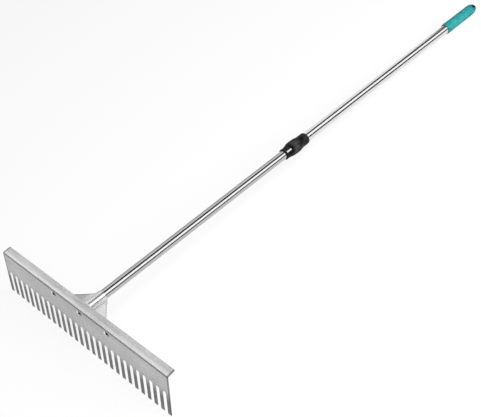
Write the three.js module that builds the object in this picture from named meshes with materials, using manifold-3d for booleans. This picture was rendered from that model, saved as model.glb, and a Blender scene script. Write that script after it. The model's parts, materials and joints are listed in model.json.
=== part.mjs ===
// Sand rake: a pressed comb blade on a two-part telescopic pole with a twist lock and a soft grip.
// Millimetres, +Z up. The rake lies as it is put down: on its tine tips and on the end of its grip.
// Blade frame: X along the blade, Y back from the front of the face, Z up from the bend.
// Pole frame: Y along the pole from the face, X across it, Z square to both, away from the ground.
import * as THREE from 'three';
import { mergeVertices } from 'three/addons/utils/BufferGeometryUtils.js';
import Module from 'manifold-3d';

const wasm = await Module();
wasm.setup();

// Fits shared by several pieces
const seatGap = 0.3;
const cutOverrun = 6;
const arcSteps = 8;
const tubeSegments = 32;
const mouldedSegments = 40;

// Blade
const bladeLength = 600;
const bladeSheet = 1.6;
const faceHeight = 124.6;
const tineCount = 28;
const tineWidth = 11.8;
const slotDepth = 68;
const tineTipRadius = 1.6;
const bladeBendRadius = 1.8;
const flangeDepth = 22.5;
const flangeTiltDegrees = 14.2;
const flangeCornerRadius = 3;

// Tubes
const poleSlopeDegrees = 6.54;
const innerTubeDiameter = 25;
const innerTubeWall = 1.2;
const slideClearance = 0.35;
const outerTubeWall = 1.2;
const outerTubeLength = 859;
const tubeOverlap = 200;

// Socket that carries the pole
const socketSheet = 1.6;
const socketBendRadius = 1;
const socketWingDrop = 2.6;
const socketLength = 44.3;
const socketMouthMargin = 0.3;
const socketWaistHalfWidth = 61;
const socketWaistShare = 0.4;
const socketLipHalfLength = 106;
const humpFoot = 1.2;
const humpSetback = 5.4;
const humpFlangeClearance = 1.3;
const tubeSetback = 2.3;

// Strap under the socket and the screws that hold the tube in it
const strapInset = 4;
const strapEarWidth = 11;
const screwInset = 9;
const screwShankRadius = 1.9;
const screwHeadRadius = 4;
const screwHeadHeight = 2.6;
const screwReach = 5;

// Blind rivets through the face and the lip of the socket
const rivetSpread = 97.2;
const rivetWingClearance = 0.6;
const rivetHeadRadius = 4.9;
const rivetHeadHeight = 1.9;
const rivetShankRadius = 2.4;
const rivetTailRadius = 2.8;
const rivetTailLength = 4;
const rivetPinRadius = 1.2;
const rivetPinDepth = 1;

// Twist lock
const lockPlace = 713.5;
const nutMouthWall = 3;
const nutNoseLength = 14;
const nutNoseWall = 3.6;
const nutThroatLength = 28;
const nutBellyLead = 10.6;
const nutBellyLength = 21;
const nutBellyWall = 4.2;
const nutTailLength = 13;
const nutTailWall = 1.3;
const nutRimLength = 5.5;
const nutRimWall = 1;
const nutBoreClearance = 0.5;
const nutWindowCount = 4;
const nutWindowWidth = 4.4;
const nutWindowSetback = 6;
const nutWindowWeb = 2;
const nutFluteCount = 8;
const nutFluteRadius = 7;
const nutFluteDepth = 1;
const colletWall = 1;
const colletCrownWall = 1.9;
const colletFrontLength = 10;
const colletBackLength = 9;
const colletSlitWidth = 2.4;
const colletSlitCount = 6;
const colletSlitShare = 0.6;
const spigotWall = 1.25;
const bodySeatShare = 0.7;
const bodyShoulder = 5;
const capLength = 20;
const capStep = 1.4;
const capLipWall = 1.05;
const capRound = 9;

// Guide bush on the top end of the inner tube
const bushInsert = 24;
const bushFlange = 8;
const bushWall = 3.5;

// Grip and the plug in the top end of the outer tube
const gripLength = 170;
const gripTip = 31;
const gripWall = 2.15;
const gripMouthWall = 1.6;
const gripBeadWall = 2.6;
const gripBeadSetback = 8;
const gripBeadLength = 20;
const gripDomeLength = 28;
const hangHoleInset = 17.5;
const hangHoleWidth = 9;
const hangHoleLength = 14;
const hangHoleTurnDegrees = 32;
const plugLength = 22;
const plugWall = 4.4;

// Radii worked out from the sizes above, from the tubes outwards
const innerTubeRadius = innerTubeDiameter / 2;
const innerTubeBore = innerTubeRadius - innerTubeWall;
const outerTubeBore = innerTubeRadius + slideClearance;
const outerTubeRadius = outerTubeBore + outerTubeWall;
const humpBore = innerTubeRadius + seatGap;
const humpRadius = humpBore + socketSheet;
const humpFootReach = humpRadius + humpFoot;
const humpFootLean = Math.asin((socketSheet / 2 - socketWingDrop + humpFoot) / humpFootReach);
const humpFootHalf = humpFootReach * Math.cos(humpFootLean);
const throatRadius = innerTubeRadius + nutBoreClearance;
const colletBore = innerTubeRadius + seatGap;
const colletEndRadius = colletBore + colletWall;
const colletCrownRadius = colletBore + colletCrownWall;
const colletRise = colletCrownRadius - colletEndRadius;
const seatMouthRadius = colletEndRadius + colletRise * bodySeatShare + seatGap;
const pocketRadius = outerTubeRadius + seatGap;
const spigotRadius = pocketRadius + spigotWall;
const nutBoreRadius = spigotRadius + seatGap;
const nutBellyRadius = nutBoreRadius + nutBellyWall;
const gripRadius = pocketRadius + gripWall;

// Slots and tines
const tinePitch = (bladeLength - tineWidth) / (tineCount - 1);
const slotWidth = tinePitch - tineWidth;

// Line of the pole, just low enough for the hump to pass under the rim of the flange
const flangeTilt = THREE.MathUtils.degToRad(flangeTiltDegrees);
const poleSlope = THREE.MathUtils.degToRad(poleSlopeDegrees);
const flangeRim = flangeDepth * Math.cos(flangeTilt);
const flangeUnderside = flangeDepth * Math.sin(flangeTilt) - bladeSheet * Math.cos(flangeTilt);
const humpNose = flangeRim + humpSetback;
const humpRise = Math.sqrt(humpRadius ** 2 - humpSetback ** 2);
const poleDrop = flangeRim * Math.tan(poleSlope) + humpRise - flangeUnderside
  + humpFlangeClearance;

// Places along the pole, from the front of the face
const socketMouth = humpNose + socketLength;
const innerTubeStart = humpNose + tubeSetback;
const strapStart = innerTubeStart + strapInset;
const strapEnd = socketMouth - strapInset;
const colletStart = lockPlace + nutThroatLength + seatGap * 2;
const colletLength = colletFrontLength + colletBackLength;
const bodySeatDepth = colletBackLength * bodySeatShare;
const bodyStart = colletStart + colletLength + seatGap - bodySeatDepth;
const tubeShoulder = bodyStart + bodySeatDepth + bodyShoulder;
const outerTubeStart = tubeShoulder + seatGap;
const outerTubeEnd = outerTubeStart + outerTubeLength;
const innerTubeEnd = outerTubeStart + tubeOverlap;
const nutBelly = bodyStart - nutBellyLead;
const nutBellyEnd = nutBelly + nutBellyLength;
const nutTail = nutBellyEnd + nutTailLength;
const nutEnd = nutTail + nutRimLength;
const capStart = nutEnd + seatGap;
const capEnd = capStart + capLength;
const gripBoreEnd = outerTubeEnd + seatGap;
const gripEnd = gripBoreEnd + gripTip;
const gripStart = gripEnd - gripLength;
const gripDomeStart = gripEnd - gripDomeLength;

// Solids

function toSolid(geometry) {
  const bare = new THREE.BufferGeometry();
  bare.setAttribute('position', geometry.getAttribute('position'));
  bare.setIndex(geometry.getIndex());
  const merged = mergeVertices(bare, 1e-4);
  const corners = merged.getAttribute('position').array;
  const index = merged.getIndex().array;
  const kept = [];
  for (let i = 0; i < index.length; i += 3) {
    const [a, b, c] = [index[i], index[i + 1], index[i + 2]];
    if (a !== b && b !== c && c !== a) kept.push(a, b, c);
  }
  if (signedVolume(corners, kept) < 0) kept.reverse();
  const mesh = new wasm.Mesh({
    numProp: 3,
    vertProperties: new Float32Array(corners),
    triVerts: new Uint32Array(kept),
  });
  return new wasm.Manifold(mesh);
}

function signedVolume(corners, index) {
  const [a, b, c] = [new THREE.Vector3(), new THREE.Vector3(), new THREE.Vector3()];
  let sum = 0;
  for (let i = 0; i < index.length; i += 3) {
    a.fromArray(corners, index[i] * 3);
    b.fromArray(corners, index[i + 1] * 3);
    c.fromArray(corners, index[i + 2] * 3);
    sum += a.dot(b.cross(c));
  }
  return sum;
}

function toGeometry(solid) {
  const mesh = solid.getMesh();
  const geometry = new THREE.BufferGeometry();
  geometry.setAttribute('position', new THREE.BufferAttribute(mesh.vertProperties, 3));
  geometry.setIndex(new THREE.BufferAttribute(mesh.triVerts, 1));
  geometry.computeVertexNormals();
  return geometry;
}

function point(x, y) {
  return new THREE.Vector2(x, y);
}

// Points on an arc, from one angle to another, both ends included
function arc(centre, radius, from, to, steps = arcSteps) {
  const points = [];
  for (let i = 0; i <= steps; i++) {
    const angle = from + ((to - from) * i) / steps;
    points.push(point(centre.x + radius * Math.cos(angle), centre.y + radius * Math.sin(angle)));
  }
  return points;
}

function extrude(points, depth) {
  return new THREE.ExtrudeGeometry(new THREE.Shape(points), { depth, bevelEnabled: false });
}

// An outline in X and Y, given a height along Z
function slab(points, bottom, top) {
  return extrude(points, top - bottom).translate(0, 0, bottom);
}

// An outline in X and Z, carried along Y
function bar(points, from, to) {
  return extrude(points, to - from).rotateX(Math.PI / 2).translate(0, to, 0);
}

// An outline in Y and Z, carried along X and centred
function rail(points, length) {
  const turn = new THREE.Matrix4().makeBasis(
    new THREE.Vector3(0, 1, 0),
    new THREE.Vector3(0, 0, 1),
    new THREE.Vector3(1, 0, 0),
  );
  return extrude(points, length).translate(0, 0, -length / 2).applyMatrix4(turn);
}

// A profile of radius and place, turned about Y
function turned(profile, segments = tubeSegments) {
  return new THREE.LatheGeometry(profile, segments);
}

// A ring profile, closed on itself, from an outer and an inner line that run the same way
function ring(outer, inner, segments = tubeSegments) {
  return turned([...outer, ...inner.toReversed(), outer[0].clone()], segments);
}

function rounded(corners, radius) {
  const points = [];
  corners.forEach((corner, i) => {
    const before = corners[(i + corners.length - 1) % corners.length];
    const after = corners[(i + 1) % corners.length];
    const inward = before.clone().sub(corner).normalize();
    const outward = after.clone().sub(corner).normalize();
    const half = Math.acos(THREE.MathUtils.clamp(inward.dot(outward), -1, 1)) / 2;
    const reach = radius / Math.tan(half);
    const start = corner.clone().addScaledVector(inward, reach);
    const end = corner.clone().addScaledVector(outward, reach);
    for (let k = 0; k <= arcSteps / 2; k++) {
      const t = k / (arcSteps / 2);
      const bend = start.clone().multiplyScalar((1 - t) ** 2);
      bend.addScaledVector(corner, 2 * t * (1 - t));
      bend.addScaledVector(end, t ** 2);
      points.push(bend);
    }
  });
  return points;
}

// The section of a bent sheet: two legs that leave a corner, with the sheet on the inner side
function bentSheet(corner, first, firstLength, second, secondLength, sheet, innerRadius) {
  const half = Math.acos(first.dot(second)) / 2;
  const inward = first.clone().add(second).normalize();
  const outerRadius = innerRadius + sheet;
  const centre = corner.clone().addScaledVector(inward, outerRadius / Math.sin(half));
  const across = (leg) => inward.clone().addScaledVector(leg, -inward.dot(leg)).normalize();
  const [firstIn, secondIn] = [across(first), across(second)];
  const from = Math.atan2(-firstIn.y, -firstIn.x);
  let to = Math.atan2(-secondIn.y, -secondIn.x);
  if (to - from > Math.PI) to -= 2 * Math.PI;
  if (from - to > Math.PI) to += 2 * Math.PI;
  const firstEnd = corner.clone().addScaledVector(first, firstLength);
  const secondEnd = corner.clone().addScaledVector(second, secondLength);
  return [
    firstEnd,
    firstEnd.clone().addScaledVector(firstIn, sheet),
    ...arc(centre, innerRadius, from, to),
    secondEnd.clone().addScaledVector(secondIn, sheet),
    secondEnd,
    ...arc(centre, outerRadius, to, from),
  ];
}

// Blade

function slotOutline(centre) {
  const half = slotWidth / 2;
  const top = slotDepth - faceHeight - half;
  const foot = tineTipRadius - faceHeight;
  const right = point(centre + half + tineTipRadius, foot);
  const left = point(centre - half - tineTipRadius, foot);
  return [
    point(left.x, -faceHeight - cutOverrun),
    point(right.x, -faceHeight - cutOverrun),
    ...arc(right, tineTipRadius, Math.PI * 1.5, Math.PI, arcSteps / 4),
    ...arc(point(centre, top), half, 0, Math.PI),
    ...arc(left, tineTipRadius, 0, -Math.PI / 2, arcSteps / 4),
  ];
}

function buildBlade() {
  const down = point(0, -1);
  const back = point(Math.cos(flangeTilt), Math.sin(flangeTilt));
  const section = bentSheet(
    point(0, 0), down, faceHeight, back, flangeDepth, bladeSheet, bladeBendRadius);
  let blade = toSolid(rail(section, bladeLength));
  for (let i = 0; i < tineCount - 1; i++) {
    const centre = (i - (tineCount - 2) / 2) * tinePitch;
    blade = blade.subtract(toSolid(bar(slotOutline(centre), -cutOverrun, cutOverrun)));
  }
  const half = bladeLength / 2;
  const reach = faceHeight + cutOverrun;
  const plan = rounded([
    point(-half, -flangeRim),
    point(half, -flangeRim),
    point(half, flangeRim),
    point(-half, flangeRim),
  ], flangeCornerRadius);
  blade = blade.intersect(toSolid(slab(plan, -reach, reach)));
  for (const side of [-1, 0, 1]) {
    blade = blade.subtract(rivetHole(side));
  }
  return blade;
}

// Rivets stand on the face, and their holes pass through the face and the lip

function wingTop(back) {
  const below = (socketWingDrop - socketSheet / 2) / Math.cos(poleSlope);
  return back * Math.tan(poleSlope) - poleDrop - below;
}

function rivetPlace(side) {
  const tail = bladeSheet + socketSheet + rivetTailLength;
  const height = wingTop(tail) + rivetTailRadius + rivetWingClearance;
  return new THREE.Vector3(side * rivetSpread, 0, height);
}

function rivetHole(side) {
  const place = rivetPlace(side);
  const radius = rivetShankRadius + seatGap;
  const hole = new THREE.CylinderGeometry(radius, radius, cutOverrun * 2, tubeSegments / 2);
  return toSolid(hole.translate(place.x, place.y, place.z));
}

function buildRivet() {
  const grip = bladeSheet + seatGap + socketSheet + seatGap;
  const front = -seatGap;
  const dome = [];
  for (let i = 0; i <= arcSteps / 2; i++) {
    const turn = (i / (arcSteps / 2)) * (Math.PI / 2);
    const span = rivetHeadRadius - rivetPinRadius;
    dome.push(point(
      rivetPinRadius + span * Math.sin(turn),
      front - rivetHeadHeight * Math.cos(turn),
    ));
  }
  return toSolid(turned([
    point(0, front - rivetHeadHeight + rivetPinDepth),
    point(rivetPinRadius, front - rivetHeadHeight + rivetPinDepth),
    ...dome,
    point(rivetShankRadius, front),
    point(rivetShankRadius, grip),
    point(rivetTailRadius, grip + rivetTailLength / 4),
    point(rivetTailRadius, grip + rivetTailLength * 3 / 4),
    point(rivetShankRadius, grip + rivetTailLength),
    point(0, grip + rivetTailLength),
  ], tubeSegments / 2));
}

// Socket: a pressed plate with a lip against the face and a hump over the tube

function poleMatrix() {
  const matrix = new THREE.Matrix4().makeRotationX(poleSlope);
  return matrix.setPosition(0, 0, -poleDrop);
}

function socketPlan() {
  const start = point(socketLipHalfLength, bladeSheet);
  const end = point(humpFootHalf + socketMouthMargin, socketMouth);
  const waist = bladeSheet + (socketMouth - bladeSheet) * socketWaistShare;
  const control = point(socketWaistHalfWidth, waist).multiplyScalar(2);
  control.addScaledVector(start, -1 / 2).addScaledVector(end, -1 / 2);
  const side = new THREE.QuadraticBezierCurve(start, control, end).getPoints(arcSteps);
  return [...side, ...side.map((p) => point(-p.x, p.y)).reverse()];
}

// Half of the outer line of the hump: up from the wing, round the foot and over to the crown
function humpSide() {
  const foot = point(humpFootHalf, humpFootReach * Math.sin(humpFootLean));
  return [
    point(foot.x, -socketWingDrop),
    ...arc(foot, humpFoot, -Math.PI / 2, humpFootLean - Math.PI, arcSteps / 2),
    ...arc(point(0, 0), humpRadius, humpFootLean, Math.PI / 2).slice(1),
  ];
}

function humpSection() {
  const right = humpSide();
  const left = right.slice(0, -1).map((p) => point(-p.x, p.y));
  return [...right, ...left.reverse()];
}

// Rounded front end of the hump, or of its bore: a profile turned about the upright
function humpNoseSolid(side) {
  const profile = [point(0, side[0].y), ...side];
  profile[profile.length - 1].x = 0;
  return toSolid(turned(profile).rotateX(Math.PI / 2).translate(0, humpNose, 0));
}

function buildSocket() {
  const slope = point(Math.cos(poleSlope), Math.sin(poleSlope));
  const up = point(0, 1);
  const front = bladeSheet + seatGap;
  const under = wingTop(front) - socketSheet / Math.cos(poleSlope);
  const wingLength = (socketMouth - bladeSheet) / Math.cos(poleSlope);
  const lipTop = -bladeSheet - bladeBendRadius - seatGap;
  const section = bentSheet(
    point(front, under), slope, wingLength, up, lipTop - under, socketSheet, socketBendRadius);
  const sheet = toSolid(rail(section, socketLipHalfLength * 2));
  const reach = poleDrop + faceHeight;
  let socket = sheet.intersect(toSolid(slab(socketPlan(), -reach, reach)));
  const hump = toSolid(bar(humpSection(), humpNose, socketMouth));
  const bore = toSolid(bar([
    point(-humpBore, -humpRadius),
    point(humpBore, -humpRadius),
    ...arc(point(0, 0), humpBore, 0, Math.PI, arcSteps * 2),
  ], humpNose, socketMouth + cutOverrun));
  const nose = humpNoseSolid(humpSide());
  const noseBore = humpNoseSolid([
    point(humpBore, -humpRadius),
    ...arc(point(0, 0), humpBore, 0, Math.PI / 2),
  ]);
  const pole = poleMatrix();
  socket = socket.add(moved(hump.add(nose), pole));
  socket = socket.subtract(moved(bore.add(noseBore), pole));
  for (const side of [-1, 0, 1]) {
    socket = socket.subtract(rivetHole(side));
  }
  return socket;
}

function moved(solid, matrix) {
  return toSolid(toGeometry(solid).applyMatrix4(matrix));
}

// Strap: an omega section that closes the socket from below

function buildStrap() {
  const top = -socketWingDrop - socketSheet / 2 - seatGap;
  const under = top - socketSheet;
  const inner = Math.asin(top / humpBore);
  const outer = Math.asin(under / humpRadius);
  const tip = humpRadius + strapEarWidth;
  const section = [
    point(-tip, under),
    ...arc(point(0, 0), humpRadius, Math.PI - outer, 2 * Math.PI + outer, arcSteps * 2),
    point(tip, under),
    point(tip, top),
    ...arc(point(0, 0), humpBore, 2 * Math.PI + inner, Math.PI - inner, arcSteps * 2),
    point(-tip, top),
  ];
  let strap = toSolid(bar(section, strapStart, strapEnd));
  for (const place of screwPlaces()) {
    strap = strap.subtract(screwHole(place));
  }
  return strap;
}

function screwPlaces() {
  return [strapStart + screwInset, strapEnd - screwInset];
}

function screwHole(place) {
  const radius = screwShankRadius + seatGap;
  const depth = humpRadius;
  const hole = new THREE.CylinderGeometry(radius, radius, depth, tubeSegments / 2);
  return toSolid(hole.rotateX(Math.PI / 2).translate(0, place, -depth));
}

function buildScrew() {
  const seat = -humpRadius - seatGap;
  const round = screwHeadHeight / 2;
  const edge = point(screwHeadRadius - round, seat - round);
  const profile = [
    point(0, seat - screwHeadHeight),
    ...arc(edge, round, -Math.PI / 2, 0, arcSteps / 2),
    point(screwHeadRadius, seat),
    point(screwShankRadius, seat),
    point(screwShankRadius, seat + screwReach),
    point(0, seat + screwReach + screwShankRadius),
  ];
  return toSolid(turned(profile, tubeSegments / 2).rotateX(Math.PI / 2));
}

// Tubes

function buildInnerTube() {
  let tube = toSolid(ring(
    [point(innerTubeRadius, innerTubeStart), point(innerTubeRadius, innerTubeEnd)],
    [point(innerTubeBore, innerTubeStart), point(innerTubeBore, innerTubeEnd)],
  ));
  for (const place of screwPlaces()) {
    tube = tube.subtract(screwHole(place));
  }
  return tube;
}

function buildOuterTube() {
  return toSolid(ring(
    [point(outerTubeRadius, outerTubeStart), point(outerTubeRadius, outerTubeEnd)],
    [point(outerTubeBore, outerTubeStart), point(outerTubeBore, outerTubeEnd)],
  ));
}

function buildBush() {
  const insert = innerTubeBore - seatGap;
  const bore = insert - bushWall;
  const start = innerTubeEnd - bushInsert;
  const shoulder = innerTubeEnd + seatGap;
  const end = shoulder + bushFlange;
  return toSolid(ring(
    [
      point(insert, start),
      point(insert, shoulder),
      point(innerTubeRadius, shoulder),
      point(innerTubeRadius, end - seatGap),
      point(innerTubeRadius - seatGap, end),
    ],
    [point(bore, start), point(bore, end)],
  ));
}

// Twist lock

function nutOutline() {
  const knots = [
    point(throatRadius + nutMouthWall, lockPlace),
    point(throatRadius + nutNoseWall, lockPlace + nutNoseLength),
    point(nutBellyRadius, nutBelly),
    point(nutBellyRadius, nutBellyEnd),
    point(nutBoreRadius + nutTailWall, nutTail),
    point(nutBoreRadius + nutRimWall, nutEnd),
  ];
  return new THREE.SplineCurve(knots).getPoints(arcSteps * 2);
}

function buildNut() {
  const cone = colletStart - seatGap;
  const inner = [
    point(throatRadius, lockPlace),
    point(throatRadius, cone),
    point(colletEndRadius + seatGap, cone),
    point(colletCrownRadius + seatGap, colletStart + colletFrontLength),
    point(nutBoreRadius, bodyStart - seatGap),
    point(nutBoreRadius, nutEnd),
  ];
  let nut = toSolid(ring(nutOutline(), inner, mouldedSegments));
  for (let i = 0; i < nutWindowCount; i++) {
    nut = nut.subtract(nutWindow(((i + 1 / 2) / nutWindowCount) * 2 * Math.PI));
  }
  for (let i = 0; i < nutFluteCount; i++) {
    nut = nut.subtract(nutFlute((i / nutFluteCount) * 2 * Math.PI));
  }
  return nut;
}

function nutWindow(turn) {
  const half = nutWindowWidth / 2;
  const start = lockPlace + nutWindowSetback + half;
  const end = lockPlace + nutThroatLength - nutWindowWeb - half;
  const outline = [
    ...arc(point(0, start), half, Math.PI, 2 * Math.PI),
    ...arc(point(0, end), half, 0, Math.PI),
  ];
  const cutter = slab(outline, innerTubeRadius / 2, nutBellyRadius + cutOverrun);
  return toSolid(cutter.rotateY(turn));
}

// Hollow along the belly, round across, that runs out where the nut grows thinner
function nutFlute(turn) {
  const length = nutTail - nutBelly + nutNoseLength;
  const cutter = new THREE.CylinderGeometry(
    nutFluteRadius, nutFluteRadius, length, arcSteps * 3);
  const place = nutBellyRadius - nutFluteDepth + nutFluteRadius;
  cutter.translate(0, nutTail - length / 2, place);
  return toSolid(cutter.rotateY(turn));
}

function buildCollet() {
  const end = colletStart + colletLength;
  let collet = toSolid(ring(
    [
      point(colletEndRadius, colletStart),
      point(colletCrownRadius, colletStart + colletFrontLength),
      point(colletEndRadius, end),
    ],
    [point(colletBore, colletStart), point(colletBore, end)],
  ));
  const split = new THREE.BoxGeometry(
    colletSlitWidth, colletLength + cutOverrun, colletCrownRadius + cutOverrun);
  split.translate(0, colletStart + colletLength / 2, (colletCrownRadius + cutOverrun) / 2);
  collet = collet.subtract(toSolid(split));
  const slitLength = colletLength * colletSlitShare;
  for (let i = 1; i < colletSlitCount; i++) {
    const reach = colletCrownRadius + cutOverrun;
    const slit = new THREE.BoxGeometry(colletSlitWidth, slitLength + cutOverrun, reach);
    slit.translate(0, end + (cutOverrun - slitLength) / 2, reach / 2);
    collet = collet.subtract(toSolid(slit.rotateY((i / colletSlitCount) * 2 * Math.PI)));
  }
  return collet;
}

function buildLockBody() {
  const capRadius = spigotRadius + capStep;
  const lipRadius = pocketRadius + capLipWall;
  const outer = [
    point(spigotRadius, bodyStart),
    point(spigotRadius, capStart),
    point(capRadius, capStart),
    point(capRadius, capEnd - capRound),
  ];
  for (let i = 1; i <= arcSteps; i++) {
    const turn = (i / arcSteps) * (Math.PI / 2);
    outer.push(point(
      lipRadius + (capRadius - lipRadius) * Math.cos(turn),
      capEnd - capRound + capRound * Math.sin(turn),
    ));
  }
  const inner = [
    point(seatMouthRadius, bodyStart),
    point(colletEndRadius + seatGap, bodyStart + bodySeatDepth),
    point(throatRadius, bodyStart + bodySeatDepth),
    point(throatRadius, tubeShoulder),
    point(pocketRadius, tubeShoulder),
    point(pocketRadius, capEnd),
  ];
  return toSolid(ring(outer, inner, mouldedSegments));
}

// Grip

function buildGrip() {
  const side = new THREE.SplineCurve([
    point(pocketRadius + gripMouthWall, gripStart),
    point(pocketRadius + gripBeadWall, gripStart + gripBeadSetback),
    point(gripRadius, gripStart + gripBeadSetback + gripBeadLength),
    point(gripRadius, gripDomeStart),
  ]).getPoints(arcSteps * 2);
  const dome = [];
  for (let i = 1; i <= arcSteps; i++) {
    const turn = (i / arcSteps) * (Math.PI / 2);
    dome.push(point(
      gripRadius * Math.cos(turn),
      gripDomeStart + gripDomeLength * Math.sin(turn),
    ));
  }
  dome[dome.length - 1].x = 0;
  const profile = [
    point(0, gripBoreEnd),
    point(pocketRadius, gripBoreEnd),
    point(pocketRadius, gripStart),
    ...side,
    ...dome,
  ];
  const grip = toSolid(turned(profile, mouldedSegments));
  return grip.subtract(hangHole());
}

function hangHole() {
  const half = hangHoleWidth / 2;
  const reach = (hangHoleLength - hangHoleWidth) / 2;
  const place = gripEnd - hangHoleInset;
  const outline = [
    ...arc(point(0, place - reach), half, Math.PI, 2 * Math.PI),
    ...arc(point(0, place + reach), half, 0, Math.PI),
  ];
  const cutter = slab(outline, -gripRadius - cutOverrun, gripRadius + cutOverrun);
  return toSolid(cutter.rotateY(THREE.MathUtils.degToRad(hangHoleTurnDegrees)));
}

function buildPlug() {
  const radius = outerTubeBore - seatGap;
  const bore = radius - plugWall;
  const start = outerTubeEnd - plugLength;
  return toSolid(ring(
    [point(radius - seatGap, start), point(radius, start + seatGap), point(radius, outerTubeEnd)],
    [point(bore, start), point(bore, outerTubeEnd)],
  ));
}

// Finishes

const sheetSteel = { color: 0xb9bbbd, roughness: 0.42, metalness: 0.85 };
const pressedSteel = { color: 0xc6c8ca, roughness: 0.38, metalness: 0.85 };
const polishedTube = { color: 0xd2d5d8, roughness: 0.2, metalness: 0.95 };
const satinTube = { color: 0xdadcde, roughness: 0.24, metalness: 0.95 };
const brightSteel = { color: 0xc9cacc, roughness: 0.3, metalness: 0.9 };
const blackPlastic = { color: 0x1d1e20, roughness: 0.5, metalness: 0 };
const greyPlastic = { color: 0x5d6063, roughness: 0.55, metalness: 0 };
const tealRubber = { color: 0x2cb3b0, roughness: 0.62, metalness: 0 };

function piece(name, solid, finish) {
  const mesh = new THREE.Mesh(toGeometry(solid), new THREE.MeshStandardMaterial(finish));
  mesh.name = name;
  return mesh;
}

// Assembly

function buildHead() {
  const head = new THREE.Group();
  head.add(piece('rake_blade', buildBlade(), sheetSteel));
  head.add(piece('socket_plate', buildSocket(), pressedSteel));
  const sides = { left: -1, centre: 0, right: 1 };
  for (const [side, share] of Object.entries(sides)) {
    const rivet = piece(`blade_rivet_${side}`, buildRivet(), brightSteel);
    rivet.position.copy(rivetPlace(share));
    head.add(rivet);
  }
  return head;
}

function buildPole() {
  const pole = new THREE.Group();
  pole.add(piece('socket_strap', buildStrap(), pressedSteel));
  screwPlaces().forEach((place, i) => {
    const screw = piece(`strap_screw_${i + 1}`, buildScrew(), brightSteel);
    screw.position.set(0, place, 0);
    pole.add(screw);
  });
  pole.add(piece('lower_tube', buildInnerTube(), polishedTube));
  pole.add(piece('guide_bush', buildBush(), greyPlastic));
  pole.add(piece('lock_collet', buildCollet(), greyPlastic));
  pole.add(piece('lock_nut', buildNut(), blackPlastic));
  pole.add(piece('lock_body', buildLockBody(), blackPlastic));
  pole.add(piece('upper_tube', buildOuterTube(), satinTube));
  pole.add(piece('tube_plug', buildPlug(), greyPlastic));
  pole.add(piece('grip', buildGrip(), tealRubber));
  pole.position.set(0, 0, -poleDrop);
  pole.rotation.x = poleSlope;
  return pole;
}

// The angle by which the rake tips back until the underside of the grip is as low as the tines
function restTilt() {
  const [along, across] = [Math.cos(poleSlope), Math.sin(poleSlope)];
  const back = gripDomeStart * along + gripRadius * across - bladeSheet;
  const rise = gripDomeStart * across - gripRadius * along - poleDrop + faceHeight;
  return Math.atan2(rise, back);
}

function buildRake() {
  const lying = new THREE.Group();
  lying.add(buildHead(), buildPole());
  lying.rotation.x = -restTilt();
  const rake = new THREE.Group();
  rake.add(lying);
  rake.updateMatrixWorld(true);
  const box = new THREE.Box3().setFromObject(rake, true);
  const middle = box.getCenter(new THREE.Vector3());
  lying.position.set(0, -middle.y, -box.min.z);
  return rake;
}

export default buildRake();
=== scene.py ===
import json
import math

import bmesh
import bpy
from mathutils import Matrix, Vector


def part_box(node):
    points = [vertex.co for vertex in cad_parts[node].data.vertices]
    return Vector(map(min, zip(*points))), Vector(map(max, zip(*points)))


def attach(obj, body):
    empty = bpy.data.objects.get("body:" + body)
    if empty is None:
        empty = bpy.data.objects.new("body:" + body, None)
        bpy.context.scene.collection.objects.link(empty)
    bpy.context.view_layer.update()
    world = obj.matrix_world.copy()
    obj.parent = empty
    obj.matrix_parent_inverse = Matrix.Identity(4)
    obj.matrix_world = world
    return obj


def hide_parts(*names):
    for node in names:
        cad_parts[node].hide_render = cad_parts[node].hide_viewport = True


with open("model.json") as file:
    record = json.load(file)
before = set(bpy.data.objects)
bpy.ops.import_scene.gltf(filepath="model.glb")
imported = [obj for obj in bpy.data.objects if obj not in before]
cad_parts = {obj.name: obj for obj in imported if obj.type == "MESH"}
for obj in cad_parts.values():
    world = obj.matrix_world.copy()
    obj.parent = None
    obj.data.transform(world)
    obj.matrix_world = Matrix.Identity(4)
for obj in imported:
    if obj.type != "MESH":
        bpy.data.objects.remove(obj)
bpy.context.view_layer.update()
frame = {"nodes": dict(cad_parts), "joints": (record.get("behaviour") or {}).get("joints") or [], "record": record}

# Sand rake: a comb blade on a telescopic pole with a twist lock and a soft grip
# Shapes are drawn in millimetres in two frames of the rake and placed in metres
# Head frame: X along the blade, Y back from the face, Z up from the bend
# Pole frame: X across, Y along the pole from the blade, Z away from the ground

record = frame["record"]
millimetre = 0.001
near = 0.01                  # how close two places lie that count as one
weld = 0.001                 # and two vertices that are merged


def rad(degrees):
    return math.radians(degrees)


# Frames of the rake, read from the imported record

def turnTo(across, along, up):
    return Matrix((across, along, up)).transposed().to_4x4()


def frameOn(back, origin):
    across = Vector((1, 0, 0))
    turn = turnTo(across, back.normalized(), across.cross(back).normalized())
    return Matrix.Translation(origin) @ turn @ Matrix.Scale(millimetre, 4)


def rowNamed(rows, name):
    return next(row for row in rows if row["name"] == name)


blade = {
    "length": 600,
    "sheet": 1.6,
    "faceHeight": 124.6,
    "tineCount": 28,
    "tineWidth": 11.8,
    "slotDepth": 68,
    "slotSteps": 8,
    "tipRadius": 1.6,
    "tipSteps": 4,
    "bendRadius": 1.8,       # inner radius of the fold
    "bendSteps": 8,
    "flangeDepth": 22.5,
    "flangeTilt": rad(14.2),
    "flangeRows": 2,
    "flangeCorner": 3,
    "cornerSteps": 6,
    "edgeRadius": 0.3,
    "rivetSpread": 97.2,
}

faceNormal = Vector(rowNamed(record["mounts"], "blade_face")["axis"])
faceUp = Vector((0, faceNormal.z, -faceNormal.y))
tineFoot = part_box("rake_blade")[0]
tipRise = blade["sheet"] * millimetre * faceNormal.z
bendCorner = Vector((0, tineFoot.y, tineFoot.z + tipRise))
bendCorner += faceUp * blade["faceHeight"] * millimetre
headFrame = frameOn(-faceNormal, bendCorner)

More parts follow.
